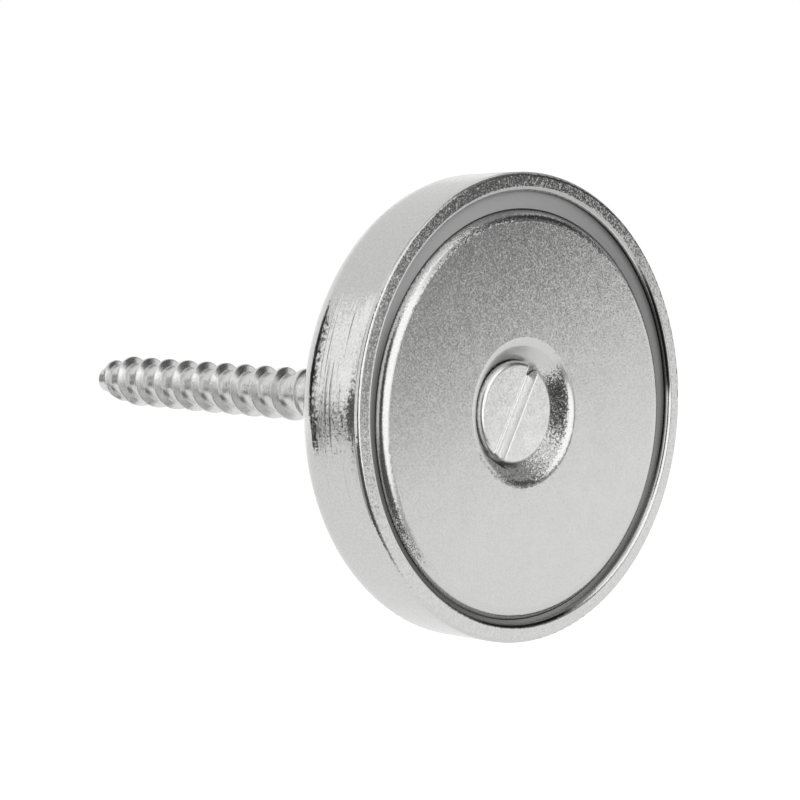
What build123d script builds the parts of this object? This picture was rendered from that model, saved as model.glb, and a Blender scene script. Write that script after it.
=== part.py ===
from build123d import *
from math import atan2, degrees, radians, sin, tan
import os

# Pot magnet with a slotted wood screw through its centre.
#
# The magnet hangs on a wall: Y is its axis, the magnetic face looks towards -Y and the
# screw points along +Y into the wall. The origin is the centre of the cup's back face,
# which lies flat against the wall at y = 0. +Z is up. All sizes are in millimetres.

# Deep drawn steel cup
cup_diameter = 40.0
cup_depth = 8.0
cup_wall = 1.6
back_corner_radius = 2.5
inner_corner_radius = 1.0
rim_outer_rounding = 0.4
rim_inner_rounding = 0.4
cup_hole_diameter = 7.0

# Ferrite ring on the floor of the cup
magnet_diameter = 35.6
magnet_bore = 16.0
magnet_chamfer = 0.4

# Pressed pole plate, level with the rim of the cup and seated a little below its centre
plate_diameter = 35.0
plate_thickness = 2.0
plate_edge_rounding = 1.1
plate_back_rounding = 0.2
plate_shift = 0.1
plate_drop = 0.57

# Well drawn into the pole plate for the head of the screw, a little left of the middle
well_mouth_radius = 5.97
well_mouth_rounding = 1.1
well_hole_diameter = 5.6
well_outer_radius = 6.4
well_foot_radius = 3.9
well_foot_rounding = 0.5
well_depth = 4.4
well_shift = 0.72
well_drop = 0.36

# Plastic ring between the pole plate and the wall of the cup
ring_recess = 0.6

# Slotted countersunk wood screw
screw_length = 58.9
head_diameter = 8.8
head_edge_rounding = 0.4
head_land = 0.2
slot_width = 1.25
slot_depth = 1.1
slot_turn = 29.0
shank_diameter = 5.0
core_diameter = 3.6
screw_lean = 0.9
screw_drop = 0.36

# Thread of the screw, as the groove that is cut to leave it
thread_pitch = 3.0
thread_start = 23.8
thread_turn = 130.0
crest_width = 0.3
flank_angle = 20.0
cutter_clearance = 0.3
lead_in_turns = 1
full_turns = 9
run_turns = 3
run_out_turns = 2.5
run_out_radius = 0.9
groove_step = 0.03
groove_overlap = 0.1

# Blunt end of the screw, measured back from its very end
end_taper_start = 4.35
end_taper_end = 2.95
end_turn_radius = 2.0
end_turn_rounding = 0.3
nose_length = 1.3
nose_radius = 0.75
nose_rounding = 0.4

# Places that follow from the sizes above
cup_radius = cup_diameter / 2
cup_bore_radius = cup_radius - cup_wall
front = -cup_depth
cup_floor = -cup_wall
plate_back = front + plate_thickness
plate_radius = plate_diameter / 2
head_radius = head_diameter / 2
head_height = head_edge_rounding + head_land
well_foot = front + well_depth


def turned(corners):
    """Turn an outline of (radius, y, rounding) corners about the Y axis."""
    outline = make_face(Polyline(*[(radius, y) for radius, y, _ in corners], close=True))
    for radius, y, rounding in corners:
        if rounding:
            corner = outline.vertices().sort_by_distance((radius, y, 0))[0]
            outline = fillet(corner, rounding)
    return revolve(outline, Axis.Y)


def make_steel_cup():
    hole = cup_hole_diameter / 2
    return turned([
        (hole, 0, 0),
        (cup_radius, 0, back_corner_radius),
        (cup_radius, front, rim_outer_rounding),
        (cup_bore_radius, front, rim_inner_rounding),
        (cup_bore_radius, cup_floor, inner_corner_radius),
        (hole, cup_floor, 0),
    ])


def make_ring_magnet():
    ring = turned([
        (magnet_bore / 2, cup_floor, 0),
        (magnet_diameter / 2, cup_floor, 0),
        (magnet_diameter / 2, plate_back, 0),
        (magnet_bore / 2, plate_back, 0),
    ])
    return chamfer(ring.edges(), magnet_chamfer)


def make_pole_plate():
    """Disc with a rounded edge, drawn down round the screw into a 90 degree countersunk well."""
    disc = turned([
        (0, front, 0),
        (plate_radius, front, plate_edge_rounding),
        (plate_radius, plate_back, plate_back_rounding),
        (0, plate_back, 0),
    ])
    outside = turned([
        (0, plate_back, 0),
        (well_outer_radius, plate_back, 0),
        (well_foot_radius, well_foot, well_foot_rounding),
        (0, well_foot, 0),
    ])
    hole = well_hole_diameter / 2
    inside = turned([
        (0, front, 0),
        (well_mouth_radius, front, 0),
        (hole, front + well_mouth_radius - hole, 0),
        (hole, well_foot, 0),
        (0, well_foot, 0),
    ])
    middle = Pos(-plate_shift, 0, -plate_drop)
    well_middle = Pos(-well_shift, 0, -well_drop)
    plate = middle * disc + well_middle * outside - well_middle * inside
    mouth = plate.faces().sort_by(Axis.Y)[0].inner_wires()[0].edges()
    return fillet(mouth, well_mouth_rounding)


def make_spacer_ring():
    """Ring that fills the gap, so it is wider above the plate than below it."""
    ring_front = front + ring_recess
    thickness = plate_back - ring_front
    middle = Plane((0, ring_front, 0), x_dir=(1, 0, 0), z_dir=(0, 1, 0))
    outside = extrude(middle * Circle(cup_bore_radius), thickness)
    inside = extrude(middle * Circle(plate_radius), thickness)
    return outside - Pos(-plate_shift, 0, -plate_drop) * inside


def thread_groove(first_turn, turns, start_radius, end_radius):
    """Right-hand groove whose floor goes from one radius to the other; what is left is the ridge."""
    start = thread_start + first_turn * thread_pitch
    turn = thread_turn + 360 * (first_turn % 1)
    length = turns * thread_pitch
    opening = degrees(atan2(end_radius - start_radius, length))
    path = Helix(thread_pitch, length, start_radius, (0, start, 0), (0, 1, 0), opening)
    outward = Vector((path @ 0).X, 0, (path @ 0).Z)
    section = Plane(path @ 0, x_dir=outward, z_dir=Vector(0, 1, 0).cross(outward))
    depth = (shank_diameter - core_diameter) / 2
    slope = tan(radians(flank_angle))
    floor = (thread_pitch - crest_width) / 2 - depth * slope
    mouth = floor + (depth + cutter_clearance) * slope
    top = depth + cutter_clearance
    outline = Polyline((0, -floor), (top, -mouth), (top, mouth), (0, floor), close=True)
    return Rot(Y=turn) * sweep(section * make_face(outline), path, is_frenet=True)


def make_wood_screw():
    """Screw with the face of its head at y = 0, then leaned and seated in the well."""
    shank = shank_diameter / 2
    core = core_diameter / 2
    screw = turned([
        (0, 0, 0),
        (head_radius, 0, head_edge_rounding),
        (head_radius, head_height, 0),
        (shank, head_height + head_radius - shank, 0),
        (shank, screw_length - end_taper_start, 0),
        (end_turn_radius, screw_length - end_taper_end, 0),
        (end_turn_radius, screw_length - nose_length, end_turn_rounding),
        (nose_radius, screw_length, nose_rounding),
        (0, screw_length, 0),
    ])
    screw -= Rot(Y=slot_turn) * Box(slot_width, 2 * slot_depth, 2 * head_diameter)
    screw -= thread_groove(0, lead_in_turns, shank + groove_step, core + groove_step)
    last_turn = lead_in_turns + full_turns
    for first_turn in range(lead_in_turns, last_turn, run_turns):
        screw -= thread_groove(first_turn, run_turns, core, core)
    run_out = last_turn - groove_overlap
    screw -= thread_groove(run_out, run_out_turns, core - groove_step, run_out_radius)
    return Pos(-well_shift, head_face(), -screw_drop) * Rot(X=screw_lean) * screw


def head_face():
    """Height of the head's face when the low edge of the leaning head just meets its seat."""
    nested = front + well_mouth_radius - head_radius - head_height
    edge_drop = (head_radius - head_height) * sin(radians(screw_lean))
    return nested - edge_drop - (screw_drop - well_drop)


parts = {
    "steel_cup": make_steel_cup(),
    "ring_magnet": make_ring_magnet(),
    "pole_plate": make_pole_plate(),
    "spacer_ring": make_spacer_ring(),
    "wood_screw": make_wood_screw(),
}

os.makedirs("parts", exist_ok=True)
for name, part in parts.items():
    part.label = name
    export_step(part, f"parts/{name}.step")
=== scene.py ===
import math

import bmesh
import bpy
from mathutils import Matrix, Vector

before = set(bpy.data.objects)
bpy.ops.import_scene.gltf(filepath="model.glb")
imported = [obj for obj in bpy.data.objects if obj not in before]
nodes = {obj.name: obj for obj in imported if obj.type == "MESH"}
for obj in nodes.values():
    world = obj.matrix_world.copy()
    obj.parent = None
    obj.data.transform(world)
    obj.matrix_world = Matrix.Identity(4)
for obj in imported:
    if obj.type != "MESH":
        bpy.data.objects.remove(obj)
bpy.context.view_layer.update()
print("frame loaded:", ", ".join(sorted(nodes)))


# Sizes and places are in metres, and angles are in degrees.
# Directions round the magnet: azimuth 0 is in front of its face (-Y) and 90 is at +X
def direction(azimuth, elevation):
    azimuth, elevation = math.radians(azimuth), math.radians(elevation)
    flat = math.cos(elevation)
    return Vector((math.sin(azimuth) * flat, -math.cos(azimuth) * flat, math.sin(elevation)))


# Camera
view = dict(
    azimuth=-43.75, elevation=3.18, distance=0.184, aimAt=(-0.0080, -0.0003, 0.0007),
    lens=97.54, clipStart=0.01,
)


def addCamera():
    back = direction(view["azimuth"], view["elevation"])
    data = bpy.data.cameras.new("camera")
    data.lens = view["lens"]
    data.clip_start = view["clipStart"]
    camera = bpy.data.objects.new("camera", data)
    camera.location = Vector(view["aimAt"]) + back * view["distance"]
    camera.rotation_euler = back.to_track_quat("Z", "Y").to_euler()
    bpy.context.scene.collection.objects.link(camera)
    bpy.context.scene.camera = camera


# Small helpers for node trees. A value is a number, a colour or the output of another node
def setSocket(tree, socket, value):
    if isinstance(value, bpy.types.NodeSocket):
        tree.links.new(value, socket)
    else:
        socket.default_value = value


def addNode(tree, kind, inputs=None, **settings):
    made = tree.nodes.new(kind)
    for name, value in settings.items():
        setattr(made, name, value)
    for name, value in (inputs or {}).items():
        setSocket(tree, made.inputs[name], value)
    return made


def calc(tree, operation, *values, clamp=False):
    made = addNode(tree, "ShaderNodeMath", dict(enumerate(values)), operation=operation, use_clamp=clamp)
    return made.outputs[0]


def calcVector(tree, operation, *values):
    made = addNode(tree, "ShaderNodeVectorMath", dict(enumerate(values)), operation=operation)
    return made.outputs[0]


def product(tree, first, *others):
    for value in others:
        first = calc(tree, "MULTIPLY", first, value)
    return first


def highest(tree, first, *others):
    for value in others:
        first = calc(tree, "MAXIMUM", first, value)
    return first


def ramp(tree, value, low, high, start=0.0, end=1.0):  # smooth step from start at low to end at high
    inputs = {"Value": value, "From Min": low, "From Max": high, "To Min": start, "To Max": end}
    return addNode(tree, "ShaderNodeMapRange", inputs, interpolation_type="SMOOTHSTEP").outputs["Result"]


def blend(tree, factor, first, second):
    made = addNode(tree, "ShaderNodeMix", {0: factor, 6: first, 7: second}, data_type="RGBA")
    return made.outputs[2]


noiseMiddle = 0.5
noiseSpread = (0.3, 0.7)  # nearly all of a noise lies between these


def scaled(tree, place, size, stretch=(1, 1, 1)):
    inputs = {"Vector": place, "Scale": [s / size for s in stretch]}
    return addNode(tree, "ShaderNodeMapping", inputs).outputs["Vector"]


def noise(tree, place, size, detail=2.0, stretch=(1, 1, 1)):
    inputs = {"Vector": scaled(tree, place, size, stretch), "Scale": 1.0, "Detail": detail}
    return addNode(tree, "ShaderNodeTexNoise", inputs).outputs["Fac"]


def bump(tree, height, depth, under=None):
    inputs = {"Height": height, "Strength": 1.0, "Distance": depth}
    if under:
        inputs["Normal"] = under
    return addNode(tree, "ShaderNodeBump", inputs).outputs["Normal"]


def plainNormal(tree):
    return addNode(tree, "ShaderNodeNewGeometry").outputs["Normal"]


def speckle(tree, place, size, tilt, under):  # tilts the surface alike in all directions
    inputs = {"Vector": scaled(tree, place, size), "Scale": 1.0, "Detail": 1.0}
    colour = addNode(tree, "ShaderNodeTexNoise", inputs).outputs["Color"]
    centred = calcVector(tree, "SUBTRACT", colour, [noiseMiddle] * 3)
    tilted = addNode(tree, "ShaderNodeVectorMath", {0: centred, "Scale": tilt}, operation="SCALE").outputs[0]
    return calcVector(tree, "NORMALIZE", calcVector(tree, "ADD", under, tilted))


def newMaterial(name):
    material = bpy.data.materials.new(name)
    material.use_nodes = True
    return material, material.node_tree


def objectPlace(tree):
    return addNode(tree, "ShaderNodeTexCoord").outputs["Object"]


# Studio: white room and pale floor. The cards are white boards and dark cloths that show only in
# reflections. Each is given by its corners, in order round it, as (azimuth, elevation) seen from the magnet.
# Soft is how far its edge takes to fade, and a nearer card hides one that is farther off.
studio = dict(
    roomLight=0.5, lampAzimuth=-20, lampElevation=30, lampDistance=1.5, lampSize=1.6, lampGlow=1.2,
    floorSize=4, floorHeight=-0.25, floorColour=(0.8, 0.8, 0.8, 1), floorGlow=0.75,
    nearFloor=0.5, floorReflected=0.49, farFloor=3.0, farFloorReflected=0.8,
    cards=dict(
        whiteBoard=dict(corners=((-27, -9), (-10, -25), (32, 0), (32, 40), (-25, 39)),
                        distance=0.55, glow=1.58, soft=3),
        greyEdge=dict(corners=((29, -5), (46, 1), (46, 46), (29, 46)), distance=0.9, glow=0.38, soft=2),
        rightCloth=dict(corners=((40, -5), (88, 25), (66, 44), (40, 44)), distance=0.8, glow=0.06, soft=6),
        farRight=dict(corners=((86, -12), (134, -12), (134, 46), (86, 46)), distance=1.0, glow=0.5, soft=6),
        topShade=dict(corners=((30, 41), (95, 38), (95, 75), (30, 75)), distance=1.1, glow=0.3, soft=5),
        upperLeft=dict(corners=((-75, 54), (-24, 53), (-12, 66), (-75, 75)), distance=1.0, glow=0.65, soft=4),
        ceiling=dict(corners=((128, 18), (232, 18), (232, 78), (128, 78)), distance=1.3, glow=0.88, soft=4),
        benchEdge=dict(corners=((42, -4), (42, 4), (-40, -36), (-40, -50), (-4, -43), (10, -31), (19, -18),
                                (30, -8)),
                       distance=0.3, glow=0.22, soft=3),
        camera=dict(corners=((-30, -12), (-56, -12), (-56, 36), (-30, 36)), distance=0.29, glow=0.04, soft=4),
        cameraStand=dict(corners=((-33, -42), (-54, -42), (-54, 0), (-33, 0)),
                         distance=0.28, glow=0.03, soft=4),
        lowLeft=dict(corners=((-6, -42), (-84, -44), (-84, -12), (-28, -7), (-10, -28)),
                     distance=0.27, glow=0.1, soft=4),
        farLowLeft=dict(corners=((-80, -42), (-130, -42), (-130, -14), (-80, -12)),
                        distance=0.3, glow=0.45, soft=5),
        backCloth=dict(corners=((-138, -9), (-143, -16), (-162, 6), (-168, 26), (-150, 26), (-140, 13)),
                       distance=0.85, glow=0.02, soft=3),
        wallBoard=dict(corners=((-131, -2), (-138, -10), (-150, 38), (-137, 36)),
                       distance=0.8, glow=1.3, soft=3),
        wallCloth=dict(corners=((-128, 30), (-130, 8), (-135, 2), (-137, -5), (-131, -16), (-122, -12),
                                (-119, 30)),
                       distance=0.75, glow=0.12, soft=3),
    ),
)


def addLamp():
    lamp = bpy.data.lights.new("softBox", "AREA")
    lamp.size = studio["lampSize"]
    lamp.energy = studio["lampGlow"] * math.pi * lamp.size ** 2
    box = bpy.data.objects.new("softBox", lamp)
    way = direction(studio["lampAzimuth"], studio["lampElevation"])
    box.location = way * studio["lampDistance"]
    box.rotation_euler = way.to_track_quat("Z", "Y").to_euler()
    box.visible_camera = box.visible_glossy = False
    bpy.context.scene.collection.objects.link(box)


def addStage(name, shape, material, surface):
    tree = material.node_tree
    tree.nodes.remove(tree.nodes["Principled BSDF"])
    tree.links.new(surface, tree.nodes["Material Output"].inputs["Surface"])
    mesh = bpy.data.meshes.new(name)
    shape.to_mesh(mesh)
    shape.free()
    mesh.materials.append(material)
    made = bpy.data.objects.new(name, mesh)
    bpy.context.scene.collection.objects.link(made)
    return made


def addCard(name, settings):
    shape = bmesh.new()
    corners = [shape.verts.new(direction(*corner) * settings["distance"]) for corner in settings["corners"]]
    middle = shape.faces.new(corners)
    layer = shape.verts.layers.float.new("cover")
    edge = settings["distance"] * math.radians(settings["soft"])
    bmesh.ops.inset_region(shape, faces=[middle], thickness=edge, use_even_offset=True)
    for corner in middle.verts:  # the card fades out towards its edge
        corner[layer] = 1.0
    material, tree = newMaterial(name)
    cover = addNode(tree, "ShaderNodeAttribute", attribute_name="cover").outputs["Fac"]
    light = addNode(tree, "ShaderNodeEmission", {"Strength": settings["glow"]}).outputs[0]
    clear = addNode(tree, "ShaderNodeBsdfTransparent").outputs[0]
    mixed = addNode(tree, "ShaderNodeMixShader", {0: ramp(tree, cover, 0, 1), 1: clear, 2: light}).outputs[0]
    card = addStage(name, shape, material, mixed)
    card.visible_camera = card.visible_shadow = card.visible_diffuse = False


def seenBy(tree):  # what the camera sees itself, and what it sees in metal or through glass
    path = addNode(tree, "ShaderNodeLightPath").outputs
    reflected = calc(tree, "ADD", path["Is Glossy Ray"], path["Is Transmission Ray"], clamp=True)
    return path["Is Camera Ray"], reflected


def addWorld():
    world = bpy.data.worlds.new("studio")
    world.use_nodes = True
    bpy.context.scene.world = world
    tree = world.node_tree
    background = tree.nodes["Background"]
    background.inputs["Color"].default_value = (1, 1, 1, 1)
    seen = calc(tree, "ADD", *seenBy(tree), clamp=True)
    tree.links.new(ramp(tree, seen, 0, 1, studio["roomLight"], 1.0), background.inputs["Strength"])


def addFloor():
    shape = bmesh.new()
    bmesh.ops.create_grid(shape, x_segments=1, y_segments=1, size=studio["floorSize"])
    material, tree = newMaterial("floorPaper")
    paper = addNode(tree, "ShaderNodeBsdfDiffuse", {"Color": studio["floorColour"]}).outputs[0]
    away = addNode(tree, "ShaderNodeVectorMath", {0: objectPlace(tree)}, operation="LENGTH").outputs["Value"]
    direct, reflected = seenBy(tree)
    mirrored = ramp(tree, away, studio["nearFloor"], studio["farFloor"],
                    studio["floorReflected"], studio["farFloorReflected"])
    strength = calc(tree, "ADD", product(tree, direct, studio["floorGlow"]),
                    product(tree, reflected, mirrored))
    glow = addNode(tree, "ShaderNodeEmission", {"Strength": strength}).outputs[0]
    both = addNode(tree, "ShaderNodeAddShader", {0: paper, 1: glow}).outputs[0]
    addStage("floor", shape, material, both).location.z = studio["floorHeight"]


addCamera()
addWorld()
addFloor()
addLamp()
for name, settings in studio["cards"].items():
    addCard(name, settings)
print("studio ready")


# Helpers for the finishes. A mask is a list of smooth steps that are multiplied. Each step names what it
# reads, then where it starts and where it ends, and then its values there if these aren't 0 and 1.
# It reads x, y (-0.008 at the magnetic face, 0 at the wall), z, or a distance from an axis along Y.
def readPlace(tree, place, **centres):  # each centre is the (x, z) of an axis
    axes = addNode(tree, "ShaderNodeSeparateXYZ", {0: place}).outputs
    at = dict(x=axes["X"], y=axes["Y"], z=axes["Z"])
    for name, (x, z) in centres.items():
        across = calc(tree, "SUBTRACT", at["x"], x)
        up = calc(tree, "SUBTRACT", at["z"], z)
        squares = calc(tree, "ADD", product(tree, across, across), product(tree, up, up))
        at[name] = calc(tree, "SQRT", squares)
    return at


def mask(tree, at, steps):
    return product(tree, *[ramp(tree, at[name], *numbers) for name, *numbers in steps])


def shadeOf(piece, shade):
    return [shade * c for c in piece["tint"][:3]] + [1]


def spottedTint(tree, place, piece, size, detail=2.0):
    spots = ramp(tree, noise(tree, place, size, detail), *noiseSpread)
    return blend(tree, spots, shadeOf(piece, piece["darker"]), shadeOf(piece, piece["lighter"]))


def patchyRoughness(tree, place, piece, detail=2.0):
    patches = noise(tree, place, piece["patchSize"], detail)
    return ramp(tree, patches, *noiseSpread, piece["rough"], piece["roughest"])


def finishNode(name, material, inputs):
    tree = material.node_tree
    shader = tree.nodes["Principled BSDF"]
    for socket, value in inputs.items():
        setSocket(tree, shader.inputs[socket], value)
    nodes[name].material_slots[0].material = material


# Steel cup: deep drawn and nickel plated
cup = dict(
    tint=(0.6, 0.6, 0.595, 1), lighter=1.06, darker=0.94,
    rough=0.1, roughest=0.14, patchSize=0.002, grainSize=0.00012, grainTilt=0.08,
    # side wall: short scratches along the draw, long ones round it, and a slight bulge between its edges
    wall=[("radius", 0.0196, 0.0198)], wallGrainSize=0.00032, wallGrainTilt=0.1,
    rungSize=0.0003, rungStretch=(1, 0.08, 1), rungDepth=0.00001,
    drawSize=0.0004, drawStretch=(0.03, 1, 0.03), drawSpread=(0.54, 0.68), drawDepth=0.000007,
    frontEdge=[("y", -0.0088, -0.0066)], backEdge=[("y", -0.0034, -0.0012)], bulge=0.00007,
    # rim: marks of the cut, coarser towards the top and worn smooth at the right, with painted shade
    # darkening the top of the rim
    rim=[("y", -0.0078, -0.0079)], rimRough=0.19, rimGrainSize=0.00018,
    cutMarks=[("cutHeight", 0.0, 0.014, 0.105, 0.3)], wornRight=[("x", 0.006, 0.016, 0, 0.009)],
    rimTopShade=[("z", 0.008, 0.018, 0, 0.45)], rimShade=0.4,
    # true round of the rim's inner edge, which the facets only follow roughly
    lip=[("radius", 0.01879, 0.01878), ("y", -0.00761, -0.00762)], lipRadius=0.0188, lipMiddle=-0.0076,
    # painted shade, dark on the bore, on the rim's inner edge and in the crevice behind it
    boreShade=0.06,
    shadedBore=[("radius", 0.01843, 0.0184), ("y", -0.0077, -0.0075), ("z", -0.009, -0.004),
                 ("y", -0.0012, -0.0016)],
    shadedLip=[("radius", 0.01842, 0.01848), ("radius", 0.0187, 0.0186), ("y", -0.007, -0.0075)],
    shadedCorner=[("radius", 0.0185, 0.01844), ("y", -0.0012, -0.0016, 0, 0.75)],
    lowShadow=[("z", -0.004, -0.01), ("x", 0.0065, 0.004)],
    rightShadow=[("x", 0.013, 0.016), ("z", 0.0, 0.0015)],
)


def roundLip(tree, place, at):
    outward = calcVector(tree, "NORMALIZE", calcVector(tree, "MULTIPLY", place, (1, 0, 1)))
    middle = calcVector(tree, "MULTIPLY_ADD", outward, [cup["lipRadius"]] * 3, (0, cup["lipMiddle"], 0))
    facing = calcVector(tree, "NORMALIZE", calcVector(tree, "SUBTRACT", place, middle))
    inputs = {0: mask(tree, at, cup["lip"]), 4: plainNormal(tree), 5: facing}
    return addNode(tree, "ShaderNodeMix", inputs, data_type="VECTOR").outputs[1]


def cupNormal(tree, place, at):
    wall = mask(tree, at, cup["wall"])
    rungs = noise(tree, place, cup["rungSize"], stretch=cup["rungStretch"])
    draw = ramp(tree, noise(tree, place, cup["drawSize"], stretch=cup["drawStretch"]), *cup["drawSpread"])
    bulge = calc(tree, "SUBTRACT", mask(tree, at, cup["frontEdge"]), mask(tree, at, cup["backEdge"]))
    at["cutHeight"] = calc(tree, "SUBTRACT", at["z"], mask(tree, at, cup["wornRight"]))
    cutMarks = product(tree, mask(tree, at, cup["rim"]), mask(tree, at, cup["cutMarks"]))
    wallTilt = product(tree, wall, cup["wallGrainTilt"])
    normal = speckle(tree, place, cup["grainSize"], cup["grainTilt"], roundLip(tree, place, at))
    normal = speckle(tree, place, cup["rimGrainSize"], cutMarks, normal)
    normal = speckle(tree, place, cup["wallGrainSize"], wallTilt, normal)
    for height, depth in ((rungs, cup["rungDepth"]), (draw, cup["drawDepth"]), (bulge, cup["bulge"])):
        normal = bump(tree, product(tree, height, wall), depth, normal)
    return normal


def cupColour(tree, place, at):
    metal = spottedTint(tree, place, cup, cup["rimGrainSize"])
    rimTopShade = product(tree, mask(tree, at, cup["rim"]), mask(tree, at, cup["rimTopShade"]))
    low, right = mask(tree, at, cup["lowShadow"]), mask(tree, at, cup["rightShadow"])
    lip = product(tree, mask(tree, at, cup["shadedLip"]), highest(tree, low, right))
    corner = product(tree, mask(tree, at, cup["shadedCorner"]), right)
    # painted shade: dark on the bore, on the rim's inner edge and in the corner behind it
    paintedShadow = highest(tree, mask(tree, at, cup["shadedBore"]), lip, corner)
    # painted shade: the top of the rim is darker
    metal = blend(tree, rimTopShade, metal, shadeOf(cup, cup["rimShade"]))
    return blend(tree, paintedShadow, metal, shadeOf(cup, cup["boreShade"]))


def finishCup():
    material, tree = newMaterial("cupNickel")
    place = objectPlace(tree)
    at = readPlace(tree, place, radius=(0, 0))
    cut = product(tree, mask(tree, at, cup["rim"]), cup["rimRough"])
    finishNode("steel_cup", material, {
        "Base Color": cupColour(tree, place, at),
        "Metallic": 1.0,
        "Roughness": highest(tree, patchyRoughness(tree, place, cup), cut),
        "Normal": cupNormal(tree, place, at),
    })


# Pole plate: pressed, nickel plated, satin grain, coarser in the well where the metal was drawn down
plate = dict(
    tint=(0.6, 0.6, 0.595, 1), lighter=1.04, darker=0.96, rough=0.2, roughest=0.22, patchSize=0.0025,
    centre=(-0.0001, -0.00057), wellCentre=(-0.00072, -0.00036),
    # grain of the flat, the well and its lower lip, and of the rounded edge, which is rubbed low at the left
    grainSize=0.00012, wellGrainSize=0.00013,
    flatTilt=[("z", -0.006, 0.015, 0.055, 0.16)],
    wellTilt=[("fromWell", 0.006, 0.0056), ("z", 0.0045, 0.001, 0.27, 0.9)],
    lipTilt=[("fromWell", 0.0068, 0.0062), ("z", -0.002, -0.004, 0, 0.45)],
    edgeTilt=[("radius", 0.0163, 0.0167, 0, 0.5)],
    topEdge=[("z", 0.005, 0.012, 0.15, 1)],
    rubbedEdge=[("z", -0.006, -0.008), ("x", -0.0118, -0.0133), ("radius", 0.0167, 0.0169, 0, 1.3)],
    wellRough=[("fromWell", 0.006, 0.0056), ("z", 0.001, 0.0045, 0, 0.34)],
    # painted shade: a darker line where the plate turns over at its top
    turnShade=0.5, turnTop=[("z", 0.009, 0.013)],
    turnStart=[("radius", 0.0165, 0.0167)], turnEnd=[("radius", 0.01685, 0.01695)],
    # painted shade on the right side of the well
    wellShade=0.68,
    shadedWellSide=[("z", 0.0022, 0.0016), ("z", -0.0024, -0.001), ("x", 0.002, 0.0025),
              ("fromWell", 0.0057, 0.0053)],
    # painted shadow in the gap under the low edge of the screw's head: a slanting line at the left and a
    # patch below
    gapShade=0.06, slantAcross=0.47, slantUp=0.88, nearHead=[("fromWell", 0.0056, 0.005)],
    gapLine=[("slant", -0.00555, -0.00535), ("slant", -0.005, -0.00525), ("x", -0.006, -0.005),
             ("x", -0.0015, -0.0022)],
    underHead=[("fromWell", 0.0049, 0.0046), ("z", -0.0041, -0.0046, 0, 0.6), ("x", 0.0006, -0.0008)],
    # painted shade in the crevice round the plate, and low down the crevice is made less metallic and so
    # duller
    edgeShade=0.9, crevice=[("radius", 0.01712, 0.01722)],
    film=[("z", 0.0, -0.006, 0, 0.55), ("x", -0.015, -0.008)],
)


def plateNormal(tree, place, at):
    edge = highest(tree, mask(tree, at, plate["topEdge"]), mask(tree, at, plate["rubbedEdge"]))
    edgeTilt = product(tree, mask(tree, at, plate["edgeTilt"]), edge)
    normal = speckle(tree, place, plate["grainSize"], mask(tree, at, plate["flatTilt"]), plainNormal(tree))
    normal = speckle(tree, place, plate["wellGrainSize"], mask(tree, at, plate["wellTilt"]), normal)
    normal = speckle(tree, place, plate["wellGrainSize"], mask(tree, at, plate["lipTilt"]), normal)
    return speckle(tree, place, plate["grainSize"], edgeTilt, normal)


def plateColour(tree, place, at):
    metal = spottedTint(tree, place, plate, plate["grainSize"], detail=1)
    turn = calc(tree, "SUBTRACT", mask(tree, at, plate["turnStart"]), mask(tree, at, plate["turnEnd"]))
    across, up = product(tree, at["x"], plate["slantAcross"]), product(tree, at["z"], plate["slantUp"])
    at["slant"] = calc(tree, "ADD", across, up)
    gap = highest(tree, mask(tree, at, plate["gapLine"]), mask(tree, at, plate["underHead"]))
    # painted shade at the turn of the top edge, the right of the well, the gap under the head and the crevice
    darkPlaces = (
        (product(tree, turn, mask(tree, at, plate["turnTop"])), "turnShade"),
        (mask(tree, at, plate["shadedWellSide"]), "wellShade"),
        (product(tree, gap, mask(tree, at, plate["nearHead"])), "gapShade"),
        (mask(tree, at, plate["crevice"]), "edgeShade"),
    )
    for cover, shade in darkPlaces:
        metal = blend(tree, cover, metal, shadeOf(plate, plate[shade]))
    return metal


def finishPlate():
    material, tree = newMaterial("plateNickel")
    place = objectPlace(tree)
    at = readPlace(tree, place, radius=plate["centre"], fromWell=plate["wellCentre"])
    film = product(tree, mask(tree, at, plate["crevice"]), mask(tree, at, plate["film"]))
    finishNode("pole_plate", material, {
        "Base Color": plateColour(tree, place, at),
        "Metallic": calc(tree, "SUBTRACT", 1.0, film),
        "Roughness": highest(tree, patchyRoughness(tree, place, plate), mask(tree, at, plate["wellRough"])),
        "Normal": plateNormal(tree, place, at),
    })


# Spacer ring: matt grey plastic, with painted light making it paler at the upper left, random paler patches,
# and painted shade darkening it at the left and the right
ring = dict(
    colour=(0.25, 0.25, 0.25, 1), pale=(0.38, 0.38, 0.38, 1), shadowColour=(0.05, 0.05, 0.05, 1), rough=0.55,
    grainSize=0.0002, grainDepth=0.000008, patchSize=0.003, patchShare=0.4,
    # painted light: paler towards the upper left; painted shade: darker at the left near the plate and at the
    # right near the rim
    litAndPatchy=[("upperLeft", -0.004, 0.026)],
    shadowLeft=[("x", 0.002, -0.01), ("z", 0.013, 0.003), ("fromPlate", 0.0184, 0.0175, 0, 0.85)],
    shadowRight=[("x", 0.004, 0.012), ("radius", 0.0177, 0.0184, 0, 0.7)],
)


def ringColour(tree, place, at):
    at["upperLeft"] = calc(tree, "SUBTRACT", at["z"], at["x"])
    patches = calc(tree, "SUBTRACT", noise(tree, place, ring["patchSize"], detail=3), noiseMiddle)
    patches = product(tree, patches, ring["patchShare"])
    # painted light, with random patches, makes the ring paler; painted shade darkens it at the left and the
    # right
    litAndPatchy = calc(tree, "ADD", mask(tree, at, ring["litAndPatchy"]), patches, clamp=True)
    ringShadow = highest(tree, mask(tree, at, ring["shadowLeft"]), mask(tree, at, ring["shadowRight"]))
    return blend(tree, ringShadow, blend(tree, litAndPatchy, ring["colour"], ring["pale"]), ring["shadowColour"])


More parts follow.
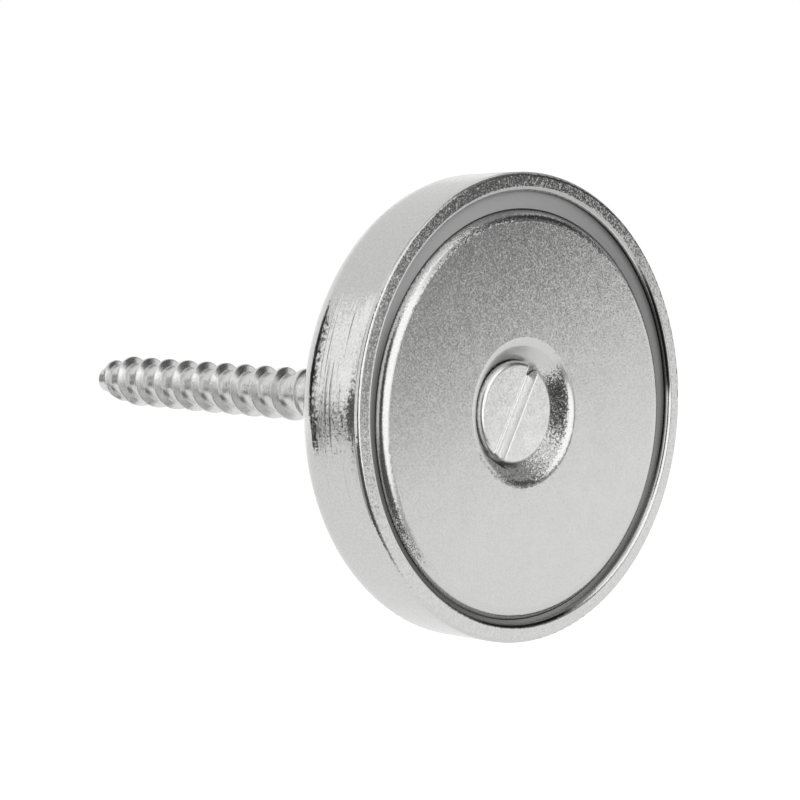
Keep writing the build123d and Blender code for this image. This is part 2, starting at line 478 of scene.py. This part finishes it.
def finishRing():
    material, tree = newMaterial("ringPlastic")
    place = objectPlace(tree)
    at = readPlace(tree, place, radius=(0, 0), fromPlate=plate["centre"])
    finishNode("spacer_ring", material, {
        "Base Color": ringColour(tree, place, at),
        "Roughness": ring["rough"],
        "Normal": bump(tree, noise(tree, place, ring["grainSize"]), ring["grainDepth"]),
    })


# Ring magnet: sintered ferrite
ferrite = dict(
    tint=(0.035, 0.035, 0.037, 1), lighter=1.8, rough=0.5, patchSize=0.0008,
    grainSize=0.00025, grainDepth=0.000006,
)


def finishMagnet():
    material, tree = newMaterial("sinteredFerrite")
    place = objectPlace(tree)
    patches = noise(tree, place, ferrite["patchSize"], detail=3)
    grain = noise(tree, place, ferrite["grainSize"], detail=3)
    finishNode("ring_magnet", material, {
        "Base Color": blend(tree, patches, ferrite["tint"], shadeOf(ferrite, ferrite["lighter"])),
        "Roughness": ferrite["rough"],
        "Normal": bump(tree, grain, ferrite["grainDepth"]),
    })


# Wood screw: bright zinc, with rubbed edges and fine scratches across the head
screw = dict(
    tint=(0.72, 0.72, 0.715, 1), lighter=1.05, darker=0.95, rough=0.2, roughest=0.28, patchSize=0.0012,
    grainSize=0.00018, grainTilt=0.09, edgeRadius=0.00016, edgeSamples=6,
    scratchSize=0.0001, scratchTurn=35, scratchStretch=(1, 1, 0.03), scratchSpread=(0.55, 0.75),
    scratchDepth=0.0000025,
    # painted light makes the floor of the slot brighter, and the thread is rougher than the head
    slotLight=1.3, slotTurn=29, slotShift=-0.000455,
    slotFloor=[("fromSlot", 0.0008, 0.0007), ("y", -0.0055, -0.0057)],
    threadRough=[("y", -0.003, 0.0, 0.0, 0.25)],
)


def screwNormal(tree, place):
    rounding = {"Radius": screw["edgeRadius"]}
    soft = addNode(tree, "ShaderNodeBevel", rounding, samples=screw["edgeSamples"]).outputs["Normal"]
    turn = {"Vector": place, "Rotation": (0, math.radians(screw["scratchTurn"]), 0)}
    turned = addNode(tree, "ShaderNodeMapping", turn).outputs["Vector"]
    scratches = noise(tree, turned, screw["scratchSize"], stretch=screw["scratchStretch"])
    scratches = ramp(tree, scratches, *screw["scratchSpread"])
    normal = speckle(tree, place, screw["grainSize"], screw["grainTilt"], soft)
    return bump(tree, scratches, screw["scratchDepth"], normal)


def screwColour(tree, place, at):
    metal = spottedTint(tree, place, screw, screw["grainSize"], detail=1)
    turn = math.radians(screw["slotTurn"])
    across, up = product(tree, at["x"], math.cos(turn)), product(tree, at["z"], -math.sin(turn))
    shifted = calc(tree, "SUBTRACT", calc(tree, "ADD", across, up), screw["slotShift"])
    at["fromSlot"] = calc(tree, "ABSOLUTE", shifted)
    # painted light: the floor of the slot is lighter
    return blend(tree, mask(tree, at, screw["slotFloor"]), metal, shadeOf(screw, screw["slotLight"]))


def finishScrew():
    material, tree = newMaterial("brightZinc")
    place = objectPlace(tree)
    at = readPlace(tree, place)
    head = patchyRoughness(tree, place, screw, detail=3)
    finishNode("wood_screw", material, {
        "Base Color": screwColour(tree, place, at),
        "Metallic": 1.0,
        "Roughness": highest(tree, head, mask(tree, at, screw["threadRough"])),
        "Normal": screwNormal(tree, place),
    })


finishCup()
finishPlate()
finishRing()
finishMagnet()
finishScrew()
print("finishes ready")

bpy.context.scene.view_settings.view_transform = "Standard"
